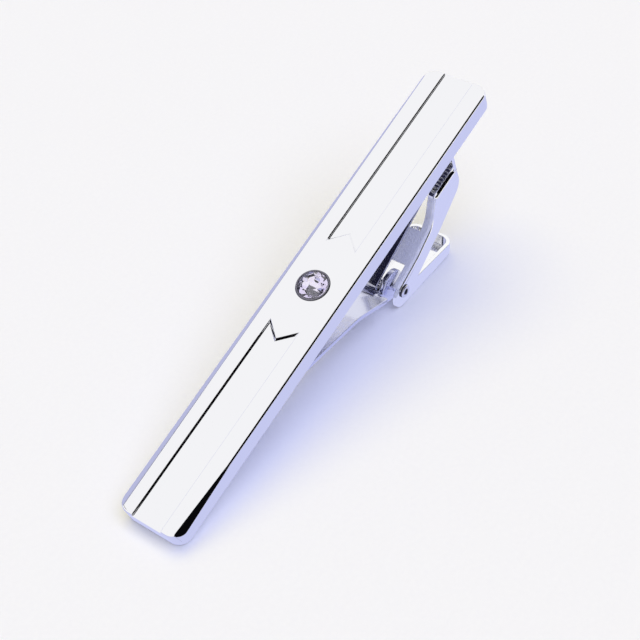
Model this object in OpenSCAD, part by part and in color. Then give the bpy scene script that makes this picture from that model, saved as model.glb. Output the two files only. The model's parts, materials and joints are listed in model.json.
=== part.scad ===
// Tie clip with a sprung lever clasp, lying on a table the way it was photographed.
// The front bar rests on the back edge of its left end and on the clasp's finger lever.
// Millimetres. X runs along the clip, Y across it and Z up from the table.
// Every piece is drawn in the bar's own frame and then laid down by lay_on_table().

/* [Front bar] */
// Length of the bar
bar_l = 60.8; // [55:0.1:70]
// Width of the bar
bar_w = 8; // [7.4:0.1:10]
// Thickness of the bar
bar_t = 2.5; // [2.3:0.1:3.2]
// Radius of the bar's four corners, seen from the front
bar_corner_r = 1.5; // [1:0.1:2]
// Radius of the rolled front edge, along the sides and over the ends
bar_edge_r = 0.28; // [0.2:0.01:1]

/* [Sunk panels] */
// Width of the two sunk panels
panel_w = 3.76; // [3:0.02:4.4]
// Depth of the sunk panels
panel_depth = 0.28; // [0.2:0.02:0.6]
// Half length of the raised middle block, up to the corners of the panels
block_half = 5.7; // [4.5:0.1:8]
// How far the block's point reaches into each panel
point_reach = 1.7; // [0.8:0.1:3]

/* [Stone and its cup] */
// Outer radius of the cup that holds the stone
cup_r = 1.88; // [1.81:0.01:2.1]
// Wall of the cup
cup_wall = 0.2; // [0.18:0.01:0.26]
// Depth of the cup below the front of the bar
cup_depth = 1.6; // [1.5:0.05:1.8]
// How far the cup's rim stands above the front of the bar
cup_rim = 0.14; // [0.1:0.02:0.3]
// Thickness of the cup's floor
cup_floor = 0.3; // [0.2:0.02:0.35]
// Radius of the stone at its girdle
stone_r = 1.64; // [1.5:0.01:1.65]
// Thickness of the stone's girdle
girdle_t = 0.12; // [0.06:0.02:0.16]
// Height of the crown above the girdle
crown_h = 0.52; // [0.4:0.02:0.7]
// Depth of the pavilion below the girdle
pavilion_h = 0.95; // [0.8:0.05:1]
// Radius of the table on top of the stone
table_r = 0.95; // [0.7:0.05:1.2]

/* [Base arm] */
// Width of the arm
arm_w = 6; // [5:0.1:6.4]
// Sheet thickness of the arm
arm_t = 0.6; // [0.5:0.05:0.7]
// Length of the foot that is soldered to the back of the bar
foot_l = 9.6; // [7:0.1:12]
// Thickness of the solder under the foot
solder_t = 0.1; // [0.06:0.02:0.2]
// How far the solder spreads round the foot
solder_spread = 0.45; // [0.2:0.05:0.8]
// Distance from the hinge back to where the foot ends and the arm bends down
bend_back = 19.6; // [17:0.1:22]
// Distance from the hinge back to where the arm bends more steeply
steep_back = 7.6; // [6:0.1:9]
// Height of that second bend above the hinge
steep_rise = 5.25; // [4.6:0.05:6]
// Distance from the hinge back to the shoulders, where the full width of the arm ends
shoulder_back = 2.75; // [2.6:0.05:3]
// Height of the shoulders above the hinge
shoulder_rise = 1.85; // [1.6:0.05:2]
// Width of the channel between the shoulders and the pin, over its two lugs
channel_w = 3.8; // [3.5:0.1:4.2]
// Radius of the lugs that carry the pin
lug_r = 2; // [1.8:0.05:2.1]
// How far the lugs' round stands back from the pin
lug_back = 0.4; // [0.3:0.05:0.6]
// How far the lugs' round stands above the pin
lug_up = 0.8; // [0.6:0.05:0.9]

/* [Hinge] */
// Distance of the hinge from the middle of the bar, along it
hinge_x = 9.3; // [8:0.1:12]
// Distance of the hinge below the back of the bar
hinge_drop = 10.45; // [10:0.05:11.5]
// Radius of the hinge pin
pin_r = 0.48; // [0.4:0.01:0.55]
// Running clearance of the pin in the arm's lugs
pin_play = 0.04; // [0.02:0.01:0.08]
// Clearance of the pin in the ears that it is riveted through
ear_play = 0.02; // [0.01:0.01:0.03]
// Radius of the pin's formed heads
head_r = 0.86; // [0.7:0.02:0.95]
// Height of the pin's formed heads
head_h = 0.3; // [0.2:0.02:0.4]

/* [Jaw] */
// Width of the jaw over its two sides
jaw_w = 6.2; // [5.8:0.1:7]
// Sheet thickness of the jaw and the finger lever
sheet_t = 0.5; // [0.4:0.02:0.6]
// Radius of the ears round the pin
ear_r = 1.5; // [1.45:0.05:1.6]
// How far the ears' round stands back from the pin
ear_back = 0.35; // [0.2:0.05:0.5]
// How far the ears' round hangs below the pin
ear_down = 0.45; // [0.3:0.05:0.5]
// Reach of the jaw beyond the hinge
jaw_reach = 13.7; // [12.8:0.1:15]
// Distance from the hinge to the start of the toothed land
land_start = 9.4; // [9:0.1:10.4]
// Height of the toothed land above the hinge
land_rise = 6.75; // [6.5:0.05:7.2]
// Distance from the hinge to the knee, where the web turns up to the land
knee_x = 7.5; // [7:0.1:8]
// Height of the knee above the hinge
knee_rise = 3.35; // [3:0.05:3.7]
// Distance from the hinge to the web's middle part, past the notch round the arm's lugs
web_start = 2.3; // [2.1:0.1:2.6]
// Distance from the hinge to the slight bend in the web
bow_x = 3.8; // [3.4:0.1:4.2]
// Height of that bend above the hinge
bow_rise = 1.95; // [1.85:0.05:2.05]
// Width of each rail beside the window in the web
rail_w = 1.2; // [1:0.05:1.4]
// Distance from the hinge to the near end of the window
window_start = 6.4; // [5.4:0.1:6.8]
// Number of teeth across the land
teeth = 6; // [3:1:9]
// Depth of the teeth
tooth_depth = 0.26; // [0.1:0.02:0.32]
// Gap between the jaw's lip and the back of the bar
lip_gap = 0.12; // [0.05:0.01:0.3]
// Height of the front lower corner of the jaw's sides above the hinge
chin_rise = 3.7; // [3.2:0.1:4.2]
// Radius of that corner
chin_r = 1.8; // [0.8:0.1:2]
// Distance from the hinge to the bend in the lower edge of the jaw's sides
belly_x = 8.5; // [8:0.1:9]
// Height of that bend above the hinge
belly_rise = 1.2; // [1:0.05:1.5]

/* [Finger lever] */
// Reach of the lever beyond the hinge
lever_reach = 11.1; // [9.8:0.1:12]
// Distance from the hinge down to the flat underside of the lever
lever_drop = 2.2; // [2:0.05:2.5]
// Height of the lever's walls at its tip
lever_h = 2; // [1.6:0.05:2.1]
// Height of the lever's walls at its root
lever_root_h = 2.4; // [2.2:0.05:2.5]
// Distance from the hinge to the root of the fork between jaw and lever
fork_x = 2.95; // [2.5:0.05:3.2]
// Drop of the fork's root below the hinge
fork_drop = 0.85; // [0.7:0.05:1]
// Distance from the hinge to the near end of the lever's floor
lever_floor_start = 1.4; // [1.2:0.1:1.8]
// Radius of the lever's end, seen from above
lever_end_r = 1.6; // [0.8:0.1:2.4]

/* [Spring] */
// Width of the leaf spring
leaf_w = 2.4; // [2:0.05:2.45]
// Thickness of the leaf spring
leaf_t = 0.34; // [0.24:0.02:0.38]
// Clearance of the leaf's foot under the pin and of its tip under the land
leaf_gap = 0.05; // [0.03:0.01:0.08]
// Distance from the hinge back to the heel, where the leaf turns over
heel_back = 2.45; // [2.3:0.05:2.6]
// Height of the heel above the hinge
heel_rise = 2.6; // [2.5:0.05:2.8]
// Reach of the leaf's tip beyond the hinge
leaf_reach = 12.2; // [11:0.1:12.8]

/* [Hidden] */

// Overrun of every cut past the surface that it starts from
over = 0.4;
// Clearance between pieces that are set into each other
seat_play = 0.02;
// Steps in the round stretch of an outline
arc_steps = 8;
// Facets round the crown of the stone
crown_facets = 8;
half_turn = 180;
// Radius of the small rounding on the back edges of the bar
back_r = 0.25;
// Radii of the arm's two bends, on the middle of the sheet
bend_r = 2.4;
steep_r = 6;
// Radius of the free corners of the foot
foot_corner_r = 0.8;
// Radii of the bends in the web: at the slight bend, at the knee and at the land
bow_r = 8;
knee_r = 2.6;
land_r = 0.6;
// Radius of the bend in the lower edge of the jaw's sides
belly_r = 6;
// Radius at the upper end of the lever's walls
lever_tip_r = 0.7;
// Radius of the bend at the arm's shoulders
shoulder_r = 0.7;
// Radius of the leaf's heel
heel_r = 0.4;
// How far the channel's floor and the leaf's foot run on past the pin. The foot is short, so
// that it can turn about the pin without leaving the channel.
floor_past_pin = 1.1;
foot_past_pin = 0.12;
// Room beside the arm's lugs in the web's notch
lug_room = 0.2;
// Share of the foot's thickness that the solder climbs
seam_height_share = 0.6;
// Place of a groove's bottom in its pitch, as a share
groove_share = 0.35;
// Height of the lever's end wall as a share of its side walls
end_wall_share = 0.8;
// Height of the flat rim of the pin's head as a share of the head
rim_share = 0.35;
// Smooth circles
$fn = 64;

half_l = bar_l / 2;

// The hinge in the bar's frame, whose origin is the middle of the front face
hinge_z = -bar_t - hinge_drop;

// Tilt of the bar on the table. The table touches the back edge of the bar's left end and
// runs at lever_drop under the hinge, and the lever's underside lies along it.
rest_x = -half_l + back_r;
rest_z = -bar_t + back_r;
rest_span = norm([hinge_x - rest_x, hinge_z - rest_z]);
tilt = atan2(rest_z - hinge_z, hinge_x - rest_x) + asin((lever_drop - back_r) / rest_span);

// Ends of the bar on the table, for the origin under the middle of the clip
left_end = (-half_l + bar_edge_r) * cos(tilt) + bar_edge_r * sin(tilt) - bar_edge_r;
right_end = (half_l - back_r) * cos(tilt) + (bar_t - back_r) * sin(tilt) + back_r;
table_z = rest_x * sin(tilt) + rest_z * cos(tilt) - back_r;

// Lays the clip on the table with the origin under the middle of its length.
module lay_on_table() {
    translate([-(left_end + right_end) / 2, 0, -table_z])
        rotate([0, -tilt, 0])
            children();
}

// Moves a piece of the clasp, drawn round the hinge, to its place under the bar.
module at_hinge() {
    lay_on_table()
        translate([hinge_x, 0, hinge_z])
            children();
}

// Extrudes an outline drawn in X and Z across the clip.
module across(width) {
    rotate([90, 0, 0])
        linear_extrude(height = width, center = true)
            children();
}

// A corner of an outline, rounded by an arc between its two sides.
function corner_arc(before, at, after, radius) =
    let (
        a = (before - at) / norm(before - at),
        b = (after - at) / norm(after - at),
        half_angle = acos(max(-1, min(1, a * b))) / 2,
        reach = radius / tan(half_angle),
        centre = at + (a + b) / norm(a + b) * radius / sin(half_angle),
        start = at + a * reach - centre,
        finish = at + b * reach - centre,
        turn = atan2(start[0] * finish[1] - start[1] * finish[0], start * finish)
    )
    [for (i = [0 : arc_steps])
        let (t = turn * i / arc_steps)
        centre + [start[0] * cos(t) - start[1] * sin(t), start[0] * sin(t) + start[1] * cos(t)]];

// An outline from corners given as [x, y, radius]; a radius of 0 keeps the corner sharp.
function rounded(corners) =
    let (n = len(corners), p = [for (c = corners) [c[0], c[1]]])
    [for (i = [0 : n - 1])
        each (corners[i][2] > 0
            ? corner_arc(p[(i + n - 1) % n], p[i], p[(i + 1) % n], corners[i][2])
            : [p[i]])];

// The line of a bent sheet as one smooth path, with the radius of each bend.
function bent_path(corners) =
    let (n = len(corners), p = [for (c = corners) [c[0], c[1]]])
    [for (i = [0 : n - 1])
        each (i > 0 && i < n - 1 && corners[i][2] > 0
            ? corner_arc(p[i - 1], p[i], p[i + 1], corners[i][2])
            : [p[i]])];

// Direction of a path at one of its points, and the path moved sideways by a distance.
function heading(path, i) =
    let (d = path[min(i + 1, len(path) - 1)] - path[max(i - 1, 0)])
    d / norm(d);
function moved(path, distance) =
    [for (i = [0 : len(path) - 1]) path[i] + distance * [-heading(path, i)[1], heading(path, i)[0]]];
function reversed(list) = [for (i = [len(list) - 1 : -1 : 0]) list[i]];

// The side view of a sheet that lies between two distances from a path.
module bent_sheet(path, from, to) {
    polygon(concat(moved(path, from), reversed(moved(path, to))));
}

// Plan outline of a plate with rounded corners.
module plate_outline(length, width, radius) {
    polygon(rounded([
        [-length / 2, -width / 2, radius],
        [length / 2, -width / 2, radius],
        [length / 2, width / 2, radius],
        [-length / 2, width / 2, radius]
    ]));
}

// Section of the bar: a rolled front edge on both sides and a slightly rounded back.
module bar_section(width) {
    polygon(rounded([
        [-width / 2, 0, bar_edge_r],
        [-width / 2, -bar_t, back_r],
        [width / 2, -bar_t, back_r],
        [width / 2, 0, bar_edge_r]
    ]));
}

// Outline of the sunk panel on the right: it runs out through the end of the bar, and the
// middle block points into its inner end.
module panel_outline() {
    polygon([
        [block_half, panel_w / 2],
        [block_half + point_reach, 0],
        [block_half, -panel_w / 2],
        [half_l + over, -panel_w / 2],
        [half_l + over, panel_w / 2]
    ]);
}

module front_bar() {
    color("gainsboro")
    lay_on_table()
    difference() {
        intersection() {
            rotate([90, 0, 90])
                linear_extrude(height = bar_l, center = true)
                    bar_section(bar_w);
            across(bar_w)
                bar_section(bar_l);
            translate([0, 0, -bar_t])
                linear_extrude(height = bar_t)
                    plate_outline(bar_l, bar_w, bar_corner_r);
        }
        for (side = [0, half_turn])
            rotate([0, 0, side])
                translate([0, 0, -panel_depth])
                    linear_extrude(height = panel_depth + over)
                        panel_outline();
        translate([0, 0, -cup_depth])
            cylinder(h = cup_depth + over, r = cup_r + seat_play);
    }
}

// The girdle sits just above the front face, and the cup's seat follows the pavilion.
girdle_z = cup_rim - girdle_t;
cup_inner_r = cup_r - cup_wall;
culet_r = stone_r - pavilion_h;
bed_z = -cup_depth + cup_floor;

// Cup: a turned ring with a floor, open at the front.
module stone_cup() {
    color("silver")
    lay_on_table()
    translate([0, 0, -cup_depth])
    difference() {
        cylinder(h = cup_depth + cup_rim, r = cup_r);
        translate([0, 0, cup_floor])
            cylinder(h = cup_depth + cup_rim, r = cup_inner_r);
    }
}

// The stone's pavilion: a cone that tapers at 45 degrees to a small culet.
module pavilion(grow) {
    translate([0, 0, girdle_z - pavilion_h])
        cylinder(h = pavilion_h, r1 = culet_r + grow, r2 = stone_r + grow);
}

// Cement that beds the pavilion in the cup.
module cement_bed() {
    color("dimgray")
    lay_on_table()
    difference() {
        translate([0, 0, bed_z])
            cylinder(h = girdle_z - bed_z - girdle_t, r = cup_inner_r - seat_play);
        pavilion(seat_play);
    }
}

// Faceted stone: a table, a crown of kite facets made by two turned frustums, a girdle
// and a pavilion.
module crystal() {
    color("lavender")
    lay_on_table() {
        intersection() {
            crown(0);
            crown(half_turn / crown_facets);
            translate([0, 0, girdle_z])
                cylinder(h = girdle_t + crown_h, r = stone_r);
        }
        pavilion(0);
    }
}

// One faceted frustum of the crown.
module crown(turn) {
    rotate([0, 0, turn])
        translate([0, 0, girdle_z])
            union() {
                cylinder(h = girdle_t, r = stone_r / cos(half_turn / crown_facets), $fn = crown_facets);
                translate([0, 0, girdle_t])
                    cylinder(h = crown_h, r1 = stone_r / cos(half_turn / crown_facets), r2 = table_r,
                             $fn = crown_facets);
            }
}

// The arm's sheet, drawn round the hinge: foot, two bends, shoulders and channel floor. The
// floor passes under the pin and leaves room there for the leaf's foot.
foot_line_z = hinge_drop - solder_t - arm_t / 2;
shoulder = [-shoulder_back, shoulder_rise];
leaf_line_r = pin_r + leaf_gap + leaf_t / 2;
floor_line_r = leaf_line_r + leaf_t / 2 + seat_play + arm_t / 2;
floor_angle = atan2(shoulder_rise, -shoulder_back) + acos(floor_line_r / norm(shoulder));
floor_out = [cos(floor_angle), sin(floor_angle)];
floor_along = [-floor_out[1], floor_out[0]];
floor_end = floor_line_r * floor_out + floor_past_pin * floor_along;
arm_path = bent_path([
    [-bend_back - foot_l, foot_line_z, 0],
    [-bend_back, foot_line_z, bend_r],
    [-steep_back, steep_rise, steep_r],
    [shoulder[0], shoulder[1], shoulder_r],
    [floor_end[0], floor_end[1], 0]
]);

// Base arm: a stamped strip with its foot under the bar and its end folded to a channel,
// whose two lugs carry the pin.
module base_arm() {
    color("lightsteelblue")
    at_hinge()
    difference() {
        union() {
            intersection() {
                across(arm_w)
                    bent_sheet(arm_path, -arm_t / 2, arm_t / 2);
                translate([0, 0, -hinge_drop])
                    linear_extrude(height = 2 * hinge_drop)
                        arm_plan();
            }
            for (side = [-1, 1])
                translate([0, side * (channel_w - arm_t) / 2, 0])
                    across(arm_t)
                        translate([-lug_back, lug_up])
                            circle(r = lug_r);
        }
        across(arm_w)
            circle(r = pin_r + pin_play);
    }
}

// Plan outline of the arm: rounded foot, parallel sides, shoulders and channel.
module arm_plan() {
    polygon(rounded([
        [-bend_back - foot_l, -arm_w / 2, foot_corner_r],
        [-shoulder_back, -arm_w / 2, 0],
        [-shoulder_back, -channel_w / 2, 0],
        [lug_r, -channel_w / 2, 0],
        [lug_r, channel_w / 2, 0],
        [-shoulder_back, channel_w / 2, 0],
        [-shoulder_back, arm_w / 2, 0],
        [-bend_back - foot_l, arm_w / 2, foot_corner_r]
    ]));
}

// Solder: a thin layer under the foot that spreads out round it as a fillet.
module solder_seam() {
    color("darkgray")
    at_hinge()
    translate([-bend_back - foot_l / 2, 0, hinge_drop])
    difference() {
        hull() {
            translate([0, 0, -solder_t])
                linear_extrude(height = solder_t)
                    plate_outline(foot_l + solder_spread * 2, arm_w + solder_spread * 2,
                                  foot_corner_r + solder_spread);
            translate([0, 0, -solder_t - arm_t * seam_height_share])
                linear_extrude(height = arm_t * seam_height_share)
                    plate_outline(foot_l, arm_w + seat_play * 2, foot_corner_r);
        }
        translate([-foot_l / 2 - seat_play, -arm_w / 2 - seat_play, -solder_t - arm_t])
            cube([foot_l + bend_back, arm_w + seat_play * 2, arm_t]);
    }
}

// The jaw's upper line leaves the ears just inside their round and runs over three bends to
// the lip.
ear_centre = [-ear_back, -ear_down];
ear_line_r = ear_r - seat_play;
bow = [bow_x, bow_rise] - ear_centre;
bow_angle = atan2(bow[1], bow[0]) + acos(ear_line_r / norm(bow));
ear_top = ear_centre + ear_line_r * [cos(bow_angle), sin(bow_angle)];
web_bends = [
    [bow_x, bow_rise, bow_r],
    [knee_x, knee_rise, knee_r],
    [land_start, land_rise, land_r],
    [jaw_reach, land_rise, 0]
];
web_path = bent_path(concat([[ear_top[0], ear_top[1], 0]], web_bends));

// Side of the jaw: it follows the web on top, has a rounded front corner and ends at the ear.
module cheek_outline() {
    polygon(rounded(concat(
        [[ear_top[0], ear_top[1], 0]],
        web_bends,
        [
            [jaw_reach, chin_rise, chin_r],
            [belly_x, belly_rise, belly_r],
            [fork_x, -fork_drop, 0],
            [ear_centre[0], ear_centre[1], 0]
        ]
    )));
}

// Lowest point of the ears, seen along the table.
ear_bottom = [
    ear_centre[0] * cos(tilt) - ear_centre[1] * sin(tilt),
    ear_centre[0] * sin(tilt) + ear_centre[1] * cos(tilt) - ear_r
];

// Side of the finger lever, along the table.
module lever_side_outline() {
    rotate(-tilt)
        polygon(rounded([
            [ear_bottom[0], ear_bottom[1], 0],
            [lever_floor_start, -lever_drop, 0],
            [lever_reach, -lever_drop, lever_tip_r / 2],
            [lever_reach, -lever_drop + lever_h, lever_tip_r],
            [0, -lever_drop + lever_root_h, 0]
        ]));
}

module jaw_side(side) {
    translate([0, side * (jaw_w - sheet_t) / 2, 0])
        across(sheet_t)
            union() {
                translate(ear_centre)
                    circle(r = ear_r);
                cheek_outline();
                lever_side_outline();
            }
}

// Jaw and finger lever: one stamping, folded to a channel that forks beyond the hinge.
module jaw_lever() {
    color("silver")
    at_hinge()
    difference() {
        union() {
            for (side = [-1, 1])
                jaw_side(side);
            across(jaw_w)
                bent_sheet(web_path, -sheet_t, 0);
            jaw_lip();
            lever_floor();
        }
        window();
        lug_notch();
        tooth_grooves();
        across(jaw_w + over)
            circle(r = pin_r + ear_play);
        lever_end_cut();
    }
}

// Lip at the end of the jaw, which turns up to the back of the bar.
module jaw_lip() {
    lip_h = hinge_drop - lip_gap - land_rise + sheet_t;
    translate([jaw_reach - sheet_t, -jaw_w / 2, land_rise - sheet_t])
        cube([sheet_t, jaw_w, lip_h]);
}

// Window in the web, between its two rails, from the near cross piece to the land.
module window() {
    clear_w = jaw_w - 2 * rail_w;
    translate([window_start, -clear_w / 2, 0])
        cube([land_start + land_r - window_start, clear_w, land_rise - sheet_t]);
    translate([window_start, -clear_w / 2, 0])
        cube([land_start - window_start, clear_w, land_rise + over]);
}

// Notch in the near end of the web, round the arm's lugs.
module lug_notch() {
    translate([-web_start, -channel_w / 2 - lug_room, -web_start])
        cube([2 * web_start, channel_w + 2 * lug_room, land_rise]);
}

// Grooves between the teeth across the land.
module tooth_grooves() {
    land_l = jaw_reach - sheet_t - seat_play - land_start - land_r;
    pitch = land_l / teeth;
    for (i = [0 : teeth - 1])
        translate([land_start + land_r + pitch * i, 0, land_rise])
            across(jaw_w - 2 * sheet_t)
                polygon([
                    [0, over],
                    [0, 0],
                    [pitch * groove_share, -tooth_depth],
                    [pitch, 0],
                    [pitch, over]
                ]);
}

// Floor and end wall of the finger lever.
module lever_floor() {
    rotate([0, tilt, 0]) {
        translate([lever_floor_start, -jaw_w / 2, -lever_drop])
            cube([lever_reach - lever_floor_start, jaw_w, sheet_t]);
        translate([lever_reach - sheet_t, -jaw_w / 2, -lever_drop])
            cube([sheet_t, jaw_w, lever_h * end_wall_share]);
    }
}

// Rounds the lever's end, seen from above.
module lever_end_cut() {
    rotate([0, tilt, 0])
        translate([0, 0, -lever_drop - over])
            linear_extrude(height = lever_h + 2 * over)
                difference() {
                    translate([lever_reach - lever_end_r, -jaw_w / 2 - over])
                        square([lever_end_r + over, jaw_w + 2 * over]);
                    polygon(rounded([
                        [0, -jaw_w / 2, 0],
                        [lever_reach, -jaw_w / 2, lever_end_r],
                        [lever_reach, jaw_w / 2, lever_end_r],
                        [0, jaw_w / 2, 0]
                    ]));
                }
}

// Middle of the leaf: a foot on the channel's floor under the pin, a heel behind the lugs and
// a long blade that passes through the jaw's window and bears on the land from below.
foot_end = leaf_line_r * floor_out + foot_past_pin * floor_along;
heel = [-heel_back, heel_rise];
leaf_tip_z = land_rise - sheet_t - leaf_gap - leaf_t / 2;
leaf_path = bent_path([
    [foot_end[0], foot_end[1], 0],
    [heel[0], heel[1], heel_r],
    [leaf_reach, leaf_tip_z, 0]
]);

module leaf_spring() {
    color("slategray")
    at_hinge()
    across(leaf_w)
        bent_sheet(leaf_path, -leaf_t / 2, leaf_t / 2);
}

// Pin: a rivet with both ends formed over the ears.
module hinge_pin() {
    color("whitesmoke")
    at_hinge() {
        rotate([90, 0, 0])
            cylinder(h = jaw_w + head_h, r = pin_r, center = true);
        for (side = [0, half_turn])
            rotate([90, 0, side])
                translate([0, 0, jaw_w / 2])
                    rivet_head();
    }
}

// A low domed head on a short flat rim.
module rivet_head() {
    rim_h = head_h * rim_share;
    cylinder(h = rim_h, r = head_r);
    translate([0, 0, rim_h])
        cylinder(h = head_h - rim_h, r1 = head_r, r2 = pin_r);
}

front_bar();
stone_cup();
cement_bed();
crystal();
solder_seam();
base_arm();
jaw_lever();
leaf_spring();
hinge_pin();
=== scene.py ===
import json
import math

import bpy
from mathutils import Matrix, Vector


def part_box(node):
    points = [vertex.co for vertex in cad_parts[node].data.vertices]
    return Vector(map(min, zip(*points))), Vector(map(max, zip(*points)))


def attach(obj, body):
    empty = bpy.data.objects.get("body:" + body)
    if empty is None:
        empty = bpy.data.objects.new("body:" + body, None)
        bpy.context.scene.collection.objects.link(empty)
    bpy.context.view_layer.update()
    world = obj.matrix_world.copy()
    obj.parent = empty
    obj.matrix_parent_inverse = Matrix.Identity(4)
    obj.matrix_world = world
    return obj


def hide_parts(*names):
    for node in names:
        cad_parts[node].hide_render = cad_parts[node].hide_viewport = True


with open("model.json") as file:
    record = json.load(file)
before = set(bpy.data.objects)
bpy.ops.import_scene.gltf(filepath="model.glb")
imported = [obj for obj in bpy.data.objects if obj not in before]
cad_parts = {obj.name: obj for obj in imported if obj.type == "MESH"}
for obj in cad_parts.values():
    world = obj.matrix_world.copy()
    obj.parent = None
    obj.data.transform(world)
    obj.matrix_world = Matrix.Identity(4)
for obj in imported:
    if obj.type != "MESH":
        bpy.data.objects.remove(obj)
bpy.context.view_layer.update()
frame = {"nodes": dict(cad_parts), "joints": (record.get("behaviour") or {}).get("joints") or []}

# Camera: a normal lens held over the left end of the clip and looking down along it, the way
# the photograph was taken.
MM = 0.001
LENS_MM = 74.34
SENSOR_MM = 36
EYE = Vector((-79.670, -63.809, 107.521)) * MM
LOOK = Vector((0.554995, 0.442016, -0.704700))
CAMERA_UP = Vector((0.591816, 0.385519, 0.707905))


def clear():
    """Ends any editing and deselects everything."""
    if bpy.context.mode != "OBJECT":
        bpy.ops.object.mode_set(mode="OBJECT")
    bpy.ops.object.select_all(action="DESELECT")


clear()
bpy.ops.object.camera_add(location=EYE)
camera = bpy.context.object
camera.data.lens = LENS_MM
camera.data.sensor_width = SENSOR_MM
camera.data.clip_start = MM
camera_right = LOOK.cross(CAMERA_UP).normalized()
aim = Matrix((camera_right, camera_right.cross(LOOK), -LOOK)).transposed()
camera.rotation_euler = aim.to_euler()
bpy.context.scene.camera = camera


# Table: a wide sheet of smooth white card under the clip. It is matt, so it takes only soft
# shadows, and it runs far past the picture on every side.
TABLE_SIZE = 4
CARD_GRAIN = 0.5 * MM
CARD_LIGHT = "#F4F4F5"
CARD_SHADE = "#F0F0F2"


def linear(hex_code):
    """Turns an sRGB hex colour into the linear colour that a shader reads."""
    parts = [int(hex_code[i:i + 2], 16) / 255 for i in (1, 3, 5)]
    return (*[p / 12.92 if p <= 0.04045 else ((p + 0.055) / 1.055) ** 2.4 for p in parts], 1)


def add_node(tree, kind, sockets=None, **settings):
    """Adds a node with its settings, and fills or links its sockets."""
    made = tree.nodes.new(kind)
    for name, value in settings.items():
        setattr(made, name, value)
    for name, value in (sockets or {}).items():
        if isinstance(value, bpy.types.NodeSocket):
            tree.links.new(value, made.inputs[name])
        else:
            made.inputs[name].default_value = value
    return made


def new_material(name):
    """A material with its node tree and its main shader, ready for more nodes."""
    material = bpy.data.materials.new(name)
    material.use_nodes = True
    return material, material.node_tree, material.node_tree.nodes["Principled BSDF"]


def mottled(name, shade, light, grain, rough):
    """A dull material whose colour wanders between two tones, over grains of a real size."""
    material, tree, shader = new_material(name)
    spot = add_node(tree, "ShaderNodeTexCoord").outputs["Object"]
    grains = add_node(tree, "ShaderNodeTexNoise", {"Vector": spot, "Scale": 1 / grain})
    tones = add_node(tree, "ShaderNodeValToRGB", {"Fac": grains.outputs["Fac"]})
    tones.color_ramp.elements[0].color = linear(shade)
    tones.color_ramp.elements[1].color = linear(light)
    tree.links.new(tones.outputs["Color"], shader.inputs["Base Color"])
    shader.inputs["Roughness"].default_value = rough
    return material


# Matt white card: pressed paper pulp, whose grain is too fine to see more than a faint mottle
matt_card = mottled("matt_white_card", CARD_SHADE, CARD_LIGHT, grain=CARD_GRAIN, rough=0.9)
matt_card.node_tree.nodes["Principled BSDF"].inputs["Specular IOR Level"].default_value = 0

clear()
bpy.ops.mesh.primitive_plane_add(size=TABLE_SIZE)
table = bpy.context.object
table.name = "table"
table.data.materials.append(matt_card)


# Light: a warm soft key from beyond the clip and a cool fill from the camera's side. Together
# they leave the table white, and where the clip hides the key, its shadow is bluish.
KEY_FROM = Vector((0.15, 0.38, 1))
KEY_ANGLE = math.radians(46)
KEY_STRENGTH = 1.16
KEY_COLOUR = "#FFF28D"
FILL_FROM = Vector((-0.1, -0.45, 1))
FILL_ANGLE = math.radians(60)
FILL_STRENGTH = 2.02
FILL_COLOUR = "#CBD2FF"

for origin, angle, strength, colour in ((KEY_FROM, KEY_ANGLE, KEY_STRENGTH, KEY_COLOUR),
                                        (FILL_FROM, FILL_ANGLE, FILL_STRENGTH, FILL_COLOUR)):
    bpy.ops.object.light_add(type="SUN")
    lamp = bpy.context.object
    lamp.rotation_euler = origin.to_track_quat("Z", "Y").to_euler()
    lamp.data.angle = angle
    lamp.data.energy = strength
    lamp.data.color = linear(colour)[:3]
    lamp.visible_glossy = False
    lamp.visible_transmission = False

# The room is white where metal or glass shows it, and gives a dimmer light to dull things. The
# camera sees it in the lit table's colour, so that the table seems to have no end.
ROOM_COLOUR = "#A0A0A2"
HAZE_COLOUR = "#F6F5F7"

world = bpy.data.worlds.new("white_room")
bpy.context.scene.world = world
world.use_nodes = True
tree = world.node_tree
ray = add_node(tree, "ShaderNodeLightPath")
mirrored = add_node(tree, "ShaderNodeMath",
                    {0: ray.outputs["Is Glossy Ray"], 1: ray.outputs["Is Transmission Ray"]},
                    operation="MAXIMUM")
dim, white, haze = [
    add_node(tree, "ShaderNodeBackground", {"Color": linear(colour), "Strength": 1})
    for colour in (ROOM_COLOUR, "#FFFFFF", HAZE_COLOUR)]
lit = add_node(tree, "ShaderNodeMixShader",
               {"Fac": mirrored.outputs[0], 1: dim.outputs[0], 2: white.outputs[0]})
room = add_node(tree, "ShaderNodeMixShader",
                {"Fac": ray.outputs["Is Camera Ray"], 1: lit.outputs[0], 2: haze.outputs[0]})
tree.links.new(room.outputs[0], tree.nodes["World Output"].inputs["Surface"])
bpy.context.scene.view_settings.view_transform = "Standard"

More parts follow.
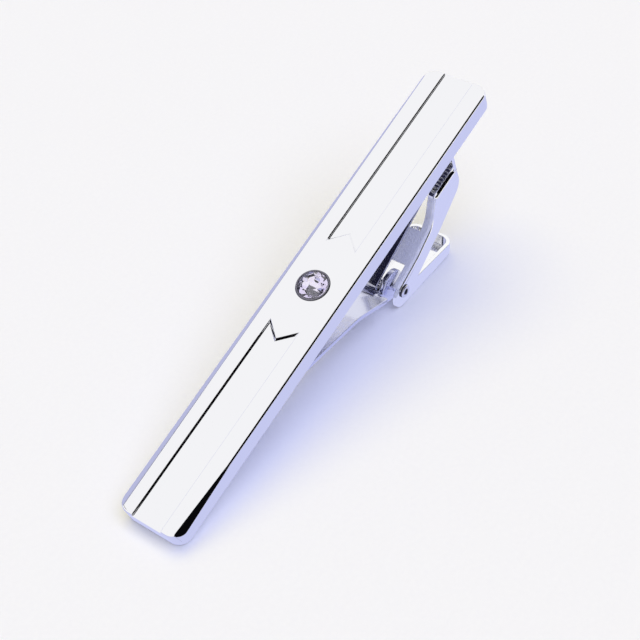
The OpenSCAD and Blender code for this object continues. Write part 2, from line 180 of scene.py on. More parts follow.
# Glowing sheets that only mirrors see stand round the clip and paint reflections into its
# plating. Black ones on the camera's side, to the left and high beyond the clip paint its dark
# lines. A pale sheet before the clip paints the tint of its shadow into the sides, a lavender
# one beyond it paints shade into its edges, and a slate one under the jaw paints shade into the
# land.
# Each row: name, start and width along x, and the corners (y, z) across, all in metres.
MIRRORED = {
    # Painted reflections: black sheets that only mirrors see, for the plating's dark lines
    ("painted_reflection_black", "#0A0A0C"): (
        ("painted_black_reflection_camera_side", -0.15, 0.6, ((-0.35, 0.002), (-0.35, 0.5))),
        ("painted_black_reflection_overhead", -0.12, 0.36, ((-0.35, 0.5), (-0.16, 0.5))),
        ("painted_black_reflection_left", -0.64, 0.54, ((-0.06, 0.0003), (-0.3, 0.0003), (-0.3, 0.25))),
        ("painted_black_reflection_beyond", -0.18, 0.16, ((0.16, 0.23), (0.3, 0.23)))),
    # Painted shadow and shade: tinted sheets that only mirrors see, standing in for shaded table
    ("painted_shadow_reflection_pale", "#CED2F8"): (
        ("painted_shadow_reflection_before_clip", -0.045, 0.12, ((-0.03, 0.0002), (0.006, 0.0002))),),
    ("painted_shade_reflection_lavender", "#BFC2E4"): (
        ("painted_shade_reflection_beyond_clip", -0.07, 0.14, ((0.006, 0.0002), (0.08, 0.0002), (0.08, 0.08))),),
    ("painted_shade_reflection_slate", "#24243A"): (
        ("painted_shade_reflection_under_jaw", -0.002, 0.053, ((0.003, 0.0004), (0.028, 0.0004))),),
}
SEEN_IN_STONE = ("painted_black_reflection_overhead", "painted_shade_reflection_beyond_clip")


def draw_line(name, points):
    """Draws a line point by point, starting from a plane that is merged to one vertex."""
    clear()
    bpy.ops.mesh.primitive_plane_add(size=MM)
    piece = bpy.context.object
    piece.name = piece.data.name = name
    bpy.ops.object.mode_set(mode="EDIT")
    bpy.ops.mesh.select_mode(type="VERT")
    bpy.ops.mesh.select_all(action="SELECT")
    bpy.ops.mesh.merge(type="CENTER")
    bpy.ops.transform.translate(value=points[0])
    for start, end in zip(points, points[1:]):
        bpy.ops.mesh.extrude_vertices_move(TRANSFORM_OT_translate={"value": end - start})
    bpy.ops.mesh.select_all(action="SELECT")
    return piece


# Painted reflections: each sheet is black and without gloss, and glows evenly in its own colour
# though it is no lamp, so that its mirror image has that tone however the lamps stand. Only
# mirrored light finds it, and in the stone only two of them show.
for (finish, colour), rows in MIRRORED.items():
    reflection_paint, tree, shader = new_material(finish)
    shader.inputs["Base Color"].default_value = linear("#000000")
    shader.inputs["Emission Color"].default_value = linear(colour)
    shader.inputs["Emission Strength"].default_value = 1
    shader.inputs["Specular IOR Level"].default_value = 0
    for name, start, width, corners in rows:
        card = draw_line(name, [Vector((start, y, z)) for y, z in corners])
        bpy.ops.mesh.extrude_region_move(TRANSFORM_OT_translate={"value": (width, 0, 0)})
        clear()
        card.data.materials.append(reflection_paint)
        card.visible_camera = False
        card.visible_diffuse = False
        card.visible_shadow = False
        card.visible_transmission = name in SEEN_IN_STONE


# Front bar: a thick brass bar, cast with a sunk panel at each end and a raised block between
# them, then polished to a mirror and plated with rhodium.
BAR_L = 60.8 * MM
BAR_W = 8 * MM
BAR_T = 2.5 * MM
BAR_CORNER_R = 1.5 * MM
BAR_EDGE_R = 0.28 * MM
BAR_BACK_R = 0.25 * MM
PANEL_W = 3.76 * MM
PANEL_DEPTH = 0.28 * MM
BLOCK_HALF = 5.7 * MM
POINT_REACH = 1.7 * MM
POINT_LEAN = 1.12
CUP_R = 1.88 * MM
CUP_DEPTH = 1.6 * MM
CUP_RIM = 0.14 * MM
CUP_PLAY = 0.02 * MM
CRISP_R = 0.035 * MM
# Two places nearer than NEAR are one place, and HAIR is a slack too small to see.
NEAR = 0.001 * MM
HAIR = 0.01 * MM
FLAT_ANGLE = math.radians(0.5)
SHARP_ANGLE = math.radians(35)
BAR_SHARP_ANGLE = math.radians(20)
# A point and the facing of the flat that the buffing wheel left along each long edge
BUFFED = ((Vector((-25.4, -3.6, 0)) * MM, Vector((-0.043, -0.765, 0.643))),
          (Vector((-29.5, 3.26, 0)) * MM, Vector((-0.0036, 0.4226, 0.9063))))

# The clip lies tilted on the table. The stone's flat top is parallel to the front of the bar
# and gives the tilt, and the stone's cup gives the middle of the bar's front.
stone_top = max(frame["nodes"]["crystal"].data.polygons, key=lambda facet: facet.center.z)
BAR_FRONT = Vector(stone_top.normal)
TILT = math.atan2(-BAR_FRONT.x, BAR_FRONT.z)
cup_low, cup_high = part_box("stone_cup")
BAR_MIDDLE = (cup_low + cup_high) / 2 + BAR_FRONT * (CUP_DEPTH - CUP_RIM) / 2


def only(piece):
    """Makes a piece the only selected one and the active one."""
    clear()
    piece.select_set(True)
    bpy.context.view_layer.objects.active = piece


def place(piece, at):
    """Lays a piece that was drawn level into the clip's tilt, with its origin at a point."""
    only(piece)
    bpy.ops.object.transform_apply(location=True, rotation=True, scale=True)
    piece.rotation_euler = (0, -TILT, 0)
    piece.location = at
    bpy.ops.object.transform_apply(location=True, rotation=True, scale=True)


def pick(piece, kind, test):
    """Opens a piece for editing with only those parts selected whose corners pass a test."""
    only(piece)
    bpy.ops.object.mode_set(mode="EDIT")
    bpy.ops.mesh.select_mode(type=kind)
    bpy.ops.mesh.select_all(action="DESELECT")
    bpy.ops.object.mode_set(mode="OBJECT")
    mesh = piece.data
    for part in {"VERT": mesh.vertices, "EDGE": mesh.edges, "FACE": mesh.polygons}[kind]:
        corners = [part.index] if kind == "VERT" else part.vertices
        part.select = test([mesh.vertices[i].co for i in corners])
    bpy.ops.object.mode_set(mode="EDIT")


def face_outwards():
    """Turns all faces of the piece being edited to its outside."""
    bpy.ops.mesh.select_all(action="SELECT")
    bpy.ops.mesh.normals_make_consistent(inside=False)


def apply(piece, kind, **settings):
    """Puts a modifier on a piece and applies it."""
    only(piece)
    modifier = piece.modifiers.new(kind.title(), kind)
    for name, value in settings.items():
        setattr(modifier, name, value)
    bpy.ops.object.modifier_apply(modifier=modifier.name)


def cut(piece, tool, operation="DIFFERENCE"):
    """Cuts a piece with a tool, or joins the tool to it, and throws the tool away."""
    apply(piece, "BOOLEAN", object=tool, operation=operation, solver="EXACT")
    bpy.data.objects.remove(tool)


def finish_edges(piece, radius, segments=2, angle=SHARP_ANGLE):
    """Breaks the sharp edges of a piece and shades the rest as flat and round as it is."""
    pick(piece, "FACE", lambda corners: True)
    bpy.ops.mesh.remove_doubles(threshold=5 * NEAR)
    bpy.ops.mesh.dissolve_limited(angle_limit=FLAT_ANGLE)
    bpy.ops.object.mode_set(mode="OBJECT")
    low, high = Vector(piece.bound_box[0]), Vector(piece.bound_box[6])
    apply(piece, "BEVEL", width=radius, segments=segments, limit_method="ANGLE",
          angle_limit=angle, use_clamp_overlap=False)
    # Where three edges meet, the bevel can push a corner a few microns out of the piece.
    for corner in piece.data.vertices:
        corner.co = [min(max(c, a), b) for c, a, b in zip(corner.co, low, high)]
    bpy.ops.object.shade_smooth_by_angle(angle=angle)
    # Faces as small as these count only when they are weighed in millimetres.
    for scale in (1 / MM, MM):
        piece.scale = (scale,) * 3
        bpy.ops.object.transform_apply(location=False, rotation=False, scale=True)
        if scale > 1:
            apply(piece, "WEIGHTED_NORMAL", keep_sharp=True)


clear()
bpy.ops.mesh.primitive_cube_add(size=1, location=(0, 0, -BAR_T / 2))
bar = bpy.context.object
bar.name = bar.data.name = "polished_bar"
bar.scale = (BAR_L, BAR_W, BAR_T)
bpy.ops.object.transform_apply(location=True, scale=True)
pick(bar, "EDGE", lambda ends: abs(ends[0].z - ends[1].z) > BAR_T / 2)
bpy.ops.mesh.bevel(offset=BAR_CORNER_R, segments=10)
pick(bar, "EDGE", lambda ends: all(end.z > -NEAR for end in ends))
bpy.ops.mesh.bevel(offset=BAR_EDGE_R, segments=8)
pick(bar, "EDGE", lambda ends: all(end.z < NEAR - BAR_T for end in ends))
bpy.ops.mesh.bevel(offset=BAR_BACK_R, segments=3)

# The buffing wheel took more off the two long edges towards the low end.
for at, facing in BUFFED:
    pick(bar, "FACE", lambda corners: True)
    bpy.ops.mesh.bisect(plane_co=at, plane_no=facing, use_fill=True, clear_outer=True,
                        threshold=NEAR / 10)

# The two panels are milled out, from the block's point out through the end of the bar. The
# walls of the point lean back, and so mirror the black cloth.
for side in (-1, 1):
    half = PANEL_W / 2
    panel = draw_line("panel_tool", [Vector((side * x, y, -PANEL_DEPTH)) for x, y in (
        (BLOCK_HALF, half), (BLOCK_HALF + POINT_REACH, 0), (BLOCK_HALF, -half),
        (BAR_L, -half), (BAR_L, half))])
    bpy.ops.mesh.edge_face_add()
    bpy.ops.mesh.extrude_region_move(TRANSFORM_OT_translate={"value": (0, 0, BAR_T)})
    pick(panel, "VERT", lambda spot: spot[0].z > 0 and abs(spot[0].x) < BAR_L / 2)
    bpy.ops.transform.translate(value=(-side * POINT_LEAN * BAR_T, 0, 0))
    face_outwards()
    cut(bar, panel)

# The bore for the stone's cup
clear()
bpy.ops.mesh.primitive_cylinder_add(vertices=96, radius=CUP_R + CUP_PLAY, depth=2 * CUP_DEPTH)
cut(bar, bpy.context.object)
finish_edges(bar, CRISP_R, angle=BAR_SHARP_ANGLE)
place(bar, BAR_MIDDLE)

RIPPLE = 9 * MM
RIPPLE_HEIGHT = 0.002 * MM
SMEAR = 5 * MM


def plated(name, tint, rough, ripple_height=RIPPLE_HEIGHT, ripple=RIPPLE):
    """Bright plating with a ripple in its surface and softer smears of wear in its shine."""
    material, tree, shader = new_material(name)
    spot = add_node(tree, "ShaderNodeTexCoord").outputs["Object"]
    smears = add_node(tree, "ShaderNodeTexNoise",
                      {"Vector": spot, "Scale": 1 / SMEAR, "Detail": 3})
    shine = add_node(tree, "ShaderNodeMapRange",
                     {"Value": smears.outputs["Fac"], "To Min": rough[0], "To Max": rough[1]})
    waves = add_node(tree, "ShaderNodeTexNoise",
                     {"Vector": spot, "Scale": 1 / ripple, "Detail": 1})
    bump = add_node(tree, "ShaderNodeBump",
                    {"Height": waves.outputs["Fac"], "Distance": ripple_height})
    tree.links.new(shine.outputs["Result"], shader.inputs["Roughness"])
    tree.links.new(bump.outputs["Normal"], shader.inputs["Normal"])
    shader.inputs["Base Color"].default_value = linear(tint)
    shader.inputs["Metallic"].default_value = 1
    return material


def coat(piece, *materials):
    """Gives a piece its materials in place of those it came with."""
    piece.data.materials.clear()
    for material in materials:
        piece.data.materials.append(material)


# Mirror-polished rhodium: a cool white metal. Buffing leaves a hardly visible ripple and a few
# soft smears, which keep the reflections from being dead straight.
coat(bar, plated("mirror_polished_rhodium", "#F3F3F6", rough=(0.02, 0.07)))
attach(bar, "bar")
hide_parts("front_bar")


# Stone cup: a brass ring with a floor, turned on a lathe, plated and pressed into the bar's
# bore. Its thin rim stands proud and is burnished over the stone.
CUP_WALL = 0.2 * MM
CUP_FLOOR = 0.3 * MM
CUP_EDGE_R = 0.07 * MM

clear()
bpy.ops.mesh.primitive_cylinder_add(vertices=96, radius=CUP_R, depth=CUP_DEPTH + CUP_RIM,
                                    location=(0, 0, (CUP_RIM - CUP_DEPTH) / 2))
cup = bpy.context.object
cup.name = cup.data.name = "turned_cup"
bpy.ops.object.transform_apply(location=True)
pick(cup, "FACE", lambda corners: all(c.z > CUP_RIM - NEAR for c in corners))
bpy.ops.mesh.inset(thickness=CUP_WALL)
bpy.ops.mesh.extrude_region_move(
    TRANSFORM_OT_translate={"value": (0, 0, CUP_FLOOR - CUP_DEPTH - CUP_RIM)})
finish_edges(cup, CUP_EDGE_R, segments=4)
place(cup, BAR_MIDDLE)

# Turned rhodium: the lathe's rings are too fine to see, but they blur what the rim mirrors. Its
# deep grey is painted shade, for the shade in the groove round the stone.
coat(cup, plated("turned_rhodium_painted_shade", "#77757F", rough=(0.08, 0.2)))
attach(cup, "bar")
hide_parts("stone_cup")


# Crystal: round cut glass with a foiled back, ground facet by facet on a wheel: a flat table
# with stars, kites and break facets round it in front, and one tier of eight facets behind.
STONE_R = 1.64 * MM
GIRDLE_Z = 0.02 * MM
GIRDLE_T = 0.12 * MM
CROWN_H = 0.52 * MM
PAVILION_H = 0.95 * MM
TABLE_R = 0.95 * MM
MAIN_FACETS = 8
BREAK_STEEPER = 8
STAR_FLATTER = 13
STAR_R = TABLE_R * 1.02
PAVILION_STEEPER = 11
FOIL_FACING = -0.1

clear()
bpy.ops.mesh.primitive_cylinder_add(
    vertices=64, radius=STONE_R, depth=GIRDLE_T + CROWN_H + PAVILION_H,
    location=(0, 0, GIRDLE_Z + (GIRDLE_T + CROWN_H - PAVILION_H) / 2))
crystal = bpy.context.object
crystal.name = crystal.data.name = "cut_crystal"
bpy.ops.object.transform_apply(location=True)


def grind(count, turn, angle, rim_z, rim_r, up):
    """Grinds a tier of facets that slope by an angle through a circle round the stone."""
    slope = math.radians(angle)
    for i in range(count):
        around = 2 * math.pi * (i + turn) / count
        out = Vector((math.cos(around), math.sin(around), 0))
        facing = out * math.sin(slope) + Vector((0, 0, up * math.cos(slope)))
        bpy.ops.object.mode_set(mode="EDIT")
        bpy.ops.mesh.select_all(action="SELECT")
        bpy.ops.mesh.bisect(plane_co=out * rim_r + Vector((0, 0, rim_z)), plane_no=facing,
                            use_fill=True, clear_outer=True, threshold=NEAR / 10)
        bpy.ops.object.mode_set(mode="OBJECT")


only(crystal)
crown_z = GIRDLE_Z + GIRDLE_T
crown_slope = math.degrees(math.atan2(CROWN_H, STONE_R - TABLE_R))
pavilion_slope = math.degrees(math.atan2(PAVILION_H, STONE_R)) + PAVILION_STEEPER
grind(MAIN_FACETS, 0, crown_slope, crown_z, STONE_R, 1)
grind(2 * MAIN_FACETS, 0.5, crown_slope + BREAK_STEEPER, crown_z, STONE_R, 1)
grind(MAIN_FACETS, 0.5, crown_slope - STAR_FLATTER, crown_z + CROWN_H, STAR_R, 1)
grind(MAIN_FACETS, 0, pavilion_slope, GIRDLE_Z, STONE_R, -1)
place(crystal, BAR_MIDDLE)

# Cut glass: clear, with a faint violet cast. Facets are flat and perfectly polished.
cut_glass, tree, shader = new_material("cut_glass")
shader.inputs["Base Color"].default_value = linear("#FCFAFF")
shader.inputs["Transmission Weight"].default_value = 1
shader.inputs["Roughness"].default_value = 0
shader.inputs["IOR"].default_value = 1.56

# Silver foil: it lies behind the pavilion and throws the light back out through the front.
foil, tree, shader = new_material("silver_foil")
shader.inputs["Base Color"].default_value = linear("#F3EFFC")
shader.inputs["Metallic"].default_value = 1
shader.inputs["Roughness"].default_value = 0.04

coat(crystal, cut_glass, foil)
for facet in crystal.data.polygons:
    facet.material_index = 1 if facet.normal.dot(BAR_FRONT) < FOIL_FACING else 0
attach(crystal, "bar")
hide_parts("crystal")


# Cement bed: grey jeweller's cement, a resin with a mineral filler. It is put in soft, fills
# the cup round the back of the stone, and holds it once it is hard.

# Set cement: a paste gone hard, dull and faintly mottled by its grit
coat(frame["nodes"]["cement_bed"],
     mottled("set_cement", "#808086", "#A2A2A8", grain=0.15 * MM, rough=0.7))


# Base arm: a stamped brass strip. Its foot is soldered under the bar, two bends lead it down
# to the clasp, and its end is folded to a channel whose two lugs carry the pin.
ARM_W = 6 * MM
ARM_T = 0.6 * MM
CHANNEL_W = 3.8 * MM
HINGE_DROP = 10.45 * MM
SOLDER_T = 0.1 * MM
FOOT_L = 9.6 * MM
FOOT_CORNER_R = 0.8 * MM
BEND_BACK = 19.6 * MM
ELBOW = Vector((-7.6, 0, 5.25)) * MM
SHOULDER = Vector((-2.75, 0, 1.85)) * MM
CHANNEL_END = Vector((-0.34, 0, -1.58)) * MM
ARM_BEND_RADII = [r * MM for r in (2.4, 6, 0.7)]
SPLIT_X = SHOULDER.x - 1.5 * MM
NARROW_X = SHOULDER.x - 0.1 * MM
LUG_AT = Vector((-0.4, 0, 0.8)) * MM
LUG_R = 2 * MM
LUG_BORE_R = 0.52 * MM
SHEET_EDGE_R = 0.07 * MM
HINGE = Vector(frame["joints"][0]["pos_m"])


def bend(piece, at, before, after, radius):
    """Rounds a sheet, or the corner of a face, where its line turns at a point."""
    turn = (at - before).angle(after - at)
    is_sheet = any(abs(v.co.y - piece.data.vertices[0].co.y) > NEAR
                   for v in piece.data.vertices)
    pick(piece, "EDGE" if is_sheet else "VERT",
         lambda ends: all(math.hypot(end.x - at.x, end.z - at.z) < NEAR for end in ends))
    bpy.ops.mesh.bevel(offset=radius * math.tan(turn / 2), segments=max(4, round(turn * 6)),
                       affect="EDGES" if is_sheet else "VERTICES")


def draw_strip(name, points, radii, width):
    """Draws the middle line of a strip, widens it and rounds its bends."""
    piece = draw_line(name, [point - Vector((0, width / 2, 0)) for point in points])
    bpy.ops.mesh.extrude_region_move(TRANSFORM_OT_translate={"value": (0, width, 0)})
    for i, radius in enumerate(radii, start=1):
        bend(piece, points[i], points[i - 1], points[i + 1], radius)
    return piece


def add_rod(radius, width, sides=48, at=Vector()):
    """Adds a round rod that lies across the clip, at a point measured from the hinge."""
    clear()
    bpy.ops.mesh.primitive_cylinder_add(vertices=sides, radius=radius, depth=width,
                                        rotation=(math.pi / 2, 0, 0), location=at)
    bpy.ops.object.transform_apply(location=True, rotation=True)
    return bpy.context.object


foot_z = HINGE_DROP - SOLDER_T - ARM_T / 2
arm = draw_strip("stamped_arm", [
    Vector((-BEND_BACK - FOOT_L, 0, foot_z)), Vector((-BEND_BACK, 0, foot_z)),
    ELBOW, SHOULDER, CHANNEL_END], ARM_BEND_RADII, ARM_W)

# Past the shoulders only the floor of the channel goes on: the strip is split along both sides
# of the channel, and what lies outside them is taken off.
for y in (-CHANNEL_W / 2, CHANNEL_W / 2):
    pick(arm, "FACE", lambda corners: max(c.x for c in corners) > SPLIT_X)
    bpy.ops.mesh.bisect(plane_co=(0, y, 0), plane_no=(0, 1, 0), threshold=NEAR)
pick(arm, "FACE", lambda corners: min(c.x for c in corners) > NARROW_X
     and abs(sum(c.y for c in corners) / len(corners)) > CHANNEL_W / 2)
bpy.ops.mesh.delete(type="FACE")
pick(arm, "EDGE", lambda ends: all(end.x < NEAR - BEND_BACK - FOOT_L for end in ends))
bpy.ops.mesh.bevel(offset=FOOT_CORNER_R, segments=5, affect="VERTICES")
apply(arm, "SOLIDIFY", thickness=ARM_T, offset=0, use_even_offset=True)
finish_edges(arm, SHEET_EDGE_R, segments=3)

# A lug is a hair thinner than the strip, so that no two faces lie in one plane.
for side in (-1, 1):
    lug = add_rod(LUG_R, ARM_T - 4 * NEAR, sides=72,
                  at=LUG_AT + Vector((0, side * (CHANNEL_W - ARM_T) / 2, 0)))
    finish_edges(lug, SHEET_EDGE_R, segments=3)
    cut(arm, lug, "UNION")
cut(arm, add_rod(LUG_BORE_R, ARM_W))
place(arm, HINGE)

# Bright plated strip: rolled and bent brass that was only barrelled before it was plated, so
# it mirrors softly, with small waves from the bending.
coat(arm, plated("bright_plated_strip", "#D9DBEE", rough=(0.1, 0.2),
                 ripple_height=0.006 * MM, ripple=4 * MM))
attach(arm, "bar")
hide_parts("base_arm")


# Solder seam: the soft solder, mostly tin, that holds the arm's foot to the bar. It ran out
# from under the foot and set round it as a low fillet.
SOLDER_SPREAD = 0.45 * MM
SOLDER_CLIMB = 0.36 * MM

clear()
bpy.ops.mesh.primitive_cube_add(
    size=1, location=(-BEND_BACK - FOOT_L / 2, 0, HINGE_DROP - (SOLDER_T + SOLDER_CLIMB) / 2))
seam = bpy.context.object
seam.name = seam.data.name = "flowed_solder"
seam.scale = (FOOT_L + 2 * SOLDER_SPREAD, ARM_W + 2 * SOLDER_SPREAD, SOLDER_T + SOLDER_CLIMB)
bpy.ops.object.transform_apply(location=True, scale=True)
pick(seam, "EDGE", lambda ends: abs(ends[0].z - ends[1].z) > SOLDER_T)
bpy.ops.mesh.bevel(offset=FOOT_CORNER_R + SOLDER_SPREAD, segments=8)
pick(seam, "FACE", lambda corners: all(c.z < HINGE_DROP - SOLDER_T - NEAR for c in corners))
bpy.ops.transform.resize(value=(FOOT_L / (FOOT_L + 2 * SOLDER_SPREAD),
                                ARM_W / (ARM_W + 2 * SOLDER_SPREAD), 1),
                         center_override=(-BEND_BACK - FOOT_L / 2, 0, 0))
finish_edges(seam, SHEET_EDGE_R, segments=3)
place(seam, HINGE)

# Flowed soft solder: tin that froze as it ran, with a satin skin and fine wrinkles
coat(seam, plated("flowed_soft_solder", "#C4C4CA", rough=(0.25, 0.4),
                  ripple_height=0.03 * MM, ripple=0.8 * MM))
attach(seam, "bar")
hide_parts("solder_seam")


# Jaw and finger lever: one plated brass stamping, folded to a channel that forks beyond the
# hinge. The jaw above has a window, a toothed land and a turned-up lip; the lever below has a
# floor and ends in a rounded tip.
JAW_W = 6.2 * MM
SHEET_T = 0.5 * MM
FOLD_R = 0.54 * MM
EAR = Vector((-0.35, 0, -0.45)) * MM
EAR_R = 1.5 * MM
EAR_CORNER_R = 0.99 * EAR_R
EAR_TOP_ANGLE = math.radians(102.06)
BOW = Vector((3.8, 0, 1.95)) * MM
KNEE = Vector((7.5, 0, 3.35)) * MM
LAND = Vector((9.4, 0, 6.75)) * MM
LAND_END = Vector((13.7, 0, 6.75)) * MM
CHIN = Vector((13.7, 0, 3.7)) * MM
BELLY = Vector((8.5, 0, 1.2)) * MM
FORK = Vector((2.95, 0, -0.85)) * MM
BOW_R, KNEE_R, LAND_R, CHIN_R, BELLY_R = [r * MM for r in (8, 2.6, 0.9, 1.8, 6)]
# The web is all of the side's line that lies above a slope from the ear.
WEB_SLOPE = 0.4
LEVER_REACH = 11.1 * MM
LEVER_DROP = 2.2 * MM
LEVER_H = 2 * MM
LEVER_FLOOR_START = 1.4 * MM
LEVER_END_R = 1.6 * MM
NOTCH_HALF_W = 2.1 * MM
NOTCH_END = 2.3 * MM
WINDOW_HALF_W = 1.9 * MM
WINDOW_START = 6.4 * MM
TEETH = 6
TOOTH_DEPTH = 0.26 * MM
TOOTH_SINK = 0.02 * MM
GROOVE_SHARE = 0.35
LIP_RISE = 10.33 * MM
PIN_BORE_R = 0.5 * MM
SCUFF_TOP = 8.4 * MM
SCUFF_UP = 0.1
SCUFF_ASIDE = 0.62


def on_table(x, z):
    """A point of the lever, given along the table and up from the hinge, in the bar's frame."""
    return Vector((x * math.cos(TILT) + z * math.sin(TILT), 0,
                   z * math.cos(TILT) - x * math.sin(TILT)))


# The side is drawn round from the top of the ear, and its corners are rounded.
low_angle = math.radians(270) - TILT
ear_turn = (low_angle - EAR_TOP_ANGLE) / 2
ear_corners = [EAR + Vector((math.cos(a), 0, math.sin(a))) * EAR_R / math.cos(ear_turn / 2)
               for a in (low_angle - ear_turn / 2, EAR_TOP_ANGLE + ear_turn / 2)]
ear_top = EAR + Vector((math.cos(EAR_TOP_ANGLE), 0, math.sin(EAR_TOP_ANGLE))) * EAR_R
side = [ear_top, BOW, KNEE, LAND, LAND_END, CHIN, BELLY, FORK,
        on_table(LEVER_REACH, LEVER_H - LEVER_DROP), on_table(LEVER_REACH, -LEVER_DROP),
        on_table(LEVER_FLOOR_START, -LEVER_DROP), *ear_corners]
jaw = draw_line("folded_jaw", [corner - Vector((0, JAW_W / 2, 0)) for corner in side])
bpy.ops.mesh.edge_face_add()
for at, radius in ((BOW, BOW_R), (KNEE, KNEE_R), (LAND, LAND_R), (CHIN, CHIN_R), (BELLY, BELLY_R),
                   *[(corner, EAR_CORNER_R) for corner in ear_corners]):
    i = side.index(at)
    bend(jaw, at, side[i - 1], side[(i + 1) % len(side)], radius)
pick(jaw, "FACE", lambda corners: True)
bpy.ops.mesh.duplicate_move(TRANSFORM_OT_translate={"value": (0, JAW_W, 0)})


def on_web(ends):
    """Whether an edge or a face lies in the jaw's web, which joins the two sides above."""
    return all(end.x > ear_top.x - NEAR and end.z - EAR.z > WEB_SLOPE * (end.x - EAR.x)
               for end in ends)


pick(jaw, "EDGE", on_web)
bpy.ops.mesh.bridge_edge_loops()
face_outwards()

# The notch round the arm's lugs and the window are cut out of the web.
for start, end, half in ((ear_top.x, NOTCH_END, NOTCH_HALF_W),
                         (WINDOW_START, LAND.x, WINDOW_HALF_W)):
    for at, along in (((start, 0, 0), (1, 0, 0)), ((end, 0, 0), (1, 0, 0)),
                      ((0, -half, 0), (0, 1, 0)), ((0, half, 0), (0, 1, 0))):
        pick(jaw, "FACE", lambda corners: on_web(corners)
             and min(c.y for c in corners) < -NEAR and max(c.y for c in corners) > NEAR
             and min(c.x for c in corners) < end - NEAR
             and max(c.x for c in corners) > start + NEAR)
        bpy.ops.mesh.bisect(plane_co=at, plane_no=along, threshold=NEAR)
    pick(jaw, "FACE", lambda corners: all(
        abs(c.y) < half + NEAR and start - NEAR < c.x < end + NEAR for c in corners))
    bpy.ops.mesh.delete(type="FACE")
pick(jaw, "EDGE", lambda ends: on_web(ends) and abs(ends[0].y - ends[1].y) < NEAR
     and abs(ends[0].y) > JAW_W / 2 - NEAR)
bpy.ops.mesh.bevel(offset=FOLD_R, segments=4)

# The lever's floor and end are folded next, with the lever lying level.
place(jaw, Vector())


def in_floor(ends):
    """Whether an edge lies in the lever's floor."""
    return all(end.z < HAIR - LEVER_DROP for end in ends)


def in_tip(ends):
    """Whether an edge lies in the lever's end."""
    return all(end.x > LEVER_REACH - HAIR and end.z < 0 for end in ends)


pick(jaw, "EDGE", lambda ends: in_floor(ends) or in_tip(ends))
bpy.ops.mesh.bridge_edge_loops()
face_outwards()
pick(jaw, "EDGE", lambda ends: in_tip(ends) and abs(ends[0].z - ends[1].z) > MM)
bpy.ops.mesh.bevel(offset=LEVER_END_R, segments=8)
pick(jaw, "EDGE", lambda ends: in_floor(ends)
     and any(end.x > LEVER_FLOOR_START + HAIR for end in ends)
     and not (abs(ends[0].y - ends[1].y) > JAW_W / 2 and ends[0].x < LEVER_REACH - MM))
bpy.ops.mesh.bevel(offset=FOLD_R, segments=4)
bpy.ops.mesh.select_all(action="SELECT")
bpy.ops.mesh.remove_doubles(threshold=HAIR)
face_outwards()
apply(jaw, "SOLIDIFY", thickness=SHEET_T, offset=-1, use_even_offset=True,
      use_quality_normals=True)

# The lip is turned up from the end of the land, and the teeth are pressed into the land. The
# lip is a hair narrower than the sheet, so that no two faces lie in one plane.
clear()
bpy.ops.mesh.primitive_cube_add(
    size=1, location=(LAND_END.x - SHEET_T / 2, 0, (LAND_END.z - SHEET_T / 2 + LIP_RISE) / 2))
lip = bpy.context.object
lip.scale = (SHEET_T - 2 * HAIR, JAW_W - 2 * HAIR, LIP_RISE - LAND_END.z + SHEET_T / 2)
place(lip, Vector())
cut(jaw, lip, "UNION")
land_start = LAND.x + LAND_R
pitch = (LAND_END.x - SHEET_T - TOOTH_SINK - land_start) / TEETH
zigzag = [Vector((land_start, 0, LAND_END.z - TOOTH_SINK))]
for i in range(TEETH):
    zigzag.append(Vector((land_start + pitch * (i + GROOVE_SHARE), 0,
                          LAND_END.z - TOOTH_DEPTH)))
    zigzag.append(Vector((land_start + pitch * (i + 1), 0, LAND_END.z - TOOTH_SINK)))
zigzag += [zigzag[-1] + Vector((0, 0, MM)), zigzag[0] + Vector((0, 0, MM))]
half = Vector((0, JAW_W / 2 - SHEET_T, 0))
rasp = draw_line("rasp", [corner - half for corner in zigzag])
bpy.ops.mesh.edge_face_add()
bpy.ops.mesh.extrude_region_move(TRANSFORM_OT_translate={"value": 2 * half})
face_outwards()
place(rasp, Vector())
cut(jaw, rasp)
cut(jaw, add_rod(PIN_BORE_R, 2 * JAW_W))
finish_edges(jaw, SHEET_EDGE_R, segments=3)
jaw.location = HINGE
only(jaw)
bpy.ops.object.transform_apply(location=True)

# Bright plated stamping: brass barrelled smooth before it was plated, so that its flat sides
# mirror nearly as clearly as the bar.
stamping = plated("bright_plated_stamping", "#F9F9FB", rough=(0.05, 0.14),
                  ripple_height=0.003 * MM, ripple=4 * MM)

# Tool-scuffed plating: the folding tool dragged over the web, and its marks under the plating
# break the mirror up to a frosted grey.
scuffed_plating = plated("tool_scuffed_plating", "#F0F2FF", rough=(0.5, 0.7),
                         ripple_height=0.03 * MM, ripple=0.25 * MM)
scuffed_plating.node_tree.nodes["Principled BSDF"].inputs["Metallic"].default_value = 0.5

# The scuffs are on the faces that look up and not far aside, from the hinge to the land.
coat(jaw, stamping, scuffed_plating)
for face in jaw.data.polygons:
    outside = face.normal.z > SCUFF_UP and abs(face.normal.y) < SCUFF_ASIDE
    scuffed = outside and HINGE.z < face.center.z < HINGE.z + SCUFF_TOP
    face.material_index = 1 if scuffed else 0
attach(jaw, "jaw")
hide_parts("jaw_lever")


# Leaf spring: a plated spring-steel strip. Its foot lies under the pin, it turns over at a
# heel and its blade passes through the jaw's window and presses up under the land.
LEAF_W = 2.4 * MM
LEAF_T = 0.34 * MM
LEAF_FOOT = Vector((-0.504, 0, -0.5)) * MM
LEAF_HEEL = Vector((-2.45, 0, 2.6)) * MM
LEAF_HEEL_R = 0.4 * MM
LEAF_TIP = Vector((12.2, 0, 6.03)) * MM
LEAF_TIP_R = 0.6 * MM
LEAF_EDGE_R = 0.05 * MM

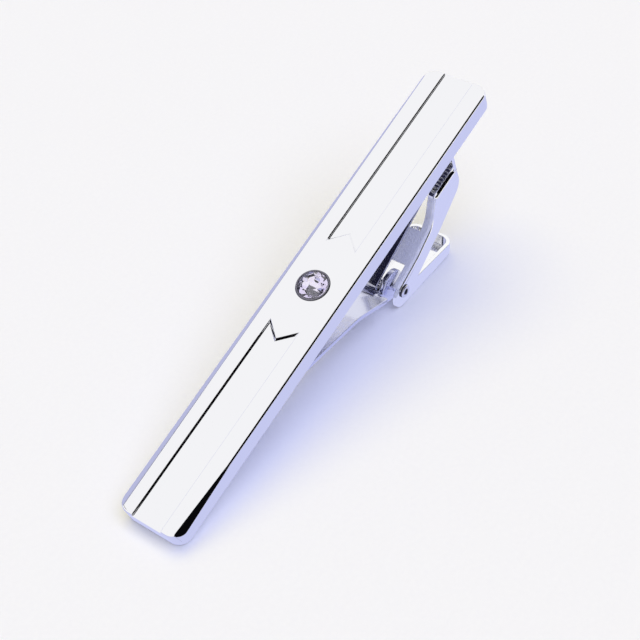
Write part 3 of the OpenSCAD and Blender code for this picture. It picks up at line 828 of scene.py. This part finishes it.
leaf = draw_strip("sprung_leaf", [LEAF_FOOT, LEAF_HEEL, LEAF_TIP], [LEAF_HEEL_R], LEAF_W)
pick(leaf, "EDGE", lambda ends: all(end.x > LEAF_TIP.x - NEAR for end in ends))
bpy.ops.mesh.bevel(offset=LEAF_TIP_R, segments=5, affect="VERTICES")
apply(leaf, "SOLIDIFY", thickness=LEAF_T, offset=0, use_even_offset=True)
finish_edges(leaf, LEAF_EDGE_R, segments=2)
place(leaf, HINGE)

# Plated spring steel: cold rolled, with a slightly softer mirror than the brass. Its grey tint is
# partly painted shade, for the shade between the bar and the jaw where it lies.
coat(leaf, plated("plated_spring_steel_painted_shade", "#B8B8C4", rough=(0.08, 0.2),
                  ripple_height=0.004 * MM, ripple=3 * MM))
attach(leaf, "jaw")
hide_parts("leaf_spring")


# Hinge pin: a plated brass rivet through both ears. Each end is pressed over its ear as a low
# round head with a hollow in the middle.
PIN_R = 0.48 * MM
# Radius of each ring of a head, from the ear outwards, and how far it rises from the last
HEAD = [(r * MM, rise * MM) for r, rise in (
    (0.8, 0), (0.8, 0.18), (0.76, 0.06), (0.68, 0.05), (0.56, 0.01), (0.44, -0.01),
    (0.38, -0.04), (0.34, -0.1), (0.3, -0.1), (0.1, 0))]
HOLLOW_R = 0.36 * MM
WALL_FACING = 0.3

pin = add_rod(PIN_R, JAW_W)
pin.name = pin.data.name = "riveted_pin"
for end in (-1, 1):
    pick(pin, "FACE", lambda corners: all(c.y * end > JAW_W / 2 - NEAR for c in corners))
    wide = PIN_R
    for radius, rise in HEAD:
        bpy.ops.mesh.extrude_region_move(TRANSFORM_OT_translate={"value": (0, end * rise, 0)})
        bpy.ops.transform.resize(value=(radius / wide, 1, radius / wide))
        wide = radius
bpy.ops.object.mode_set(mode="OBJECT")
bpy.ops.object.shade_smooth_by_angle(angle=SHARP_ANGLE)
place(pin, HINGE)

# Formed rivet: the press leaves the plated head smooth and bright, with a few shallow dents.
formed = plated("formed_rivet", "#E4E4EC", rough=(0.04, 0.12),
                ripple_height=0.003 * MM, ripple=1 * MM)

# Painted shade: a near-black, faintly mottled colour on the wall round each head and in its
# hollow, where shade falls.
painted_shade = mottled("painted_shade_round_rivet", "#101018", "#3A3A4A", grain=0.1 * MM, rough=0.6)

coat(pin, formed, painted_shade)
# Painted shade goes on each head's wall and in its hollow; the rest of the pin stays bright.
for face in pin.data.polygons:
    from_axis = face.center - HINGE
    from_axis.y = 0
    if abs(face.center.y) > JAW_W / 2:
        wall = abs(face.normal.y) < WALL_FACING
        face.material_index = 1 if wall or from_axis.length < HOLLOW_R else 0
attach(pin, "jaw")
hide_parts("hinge_pin")
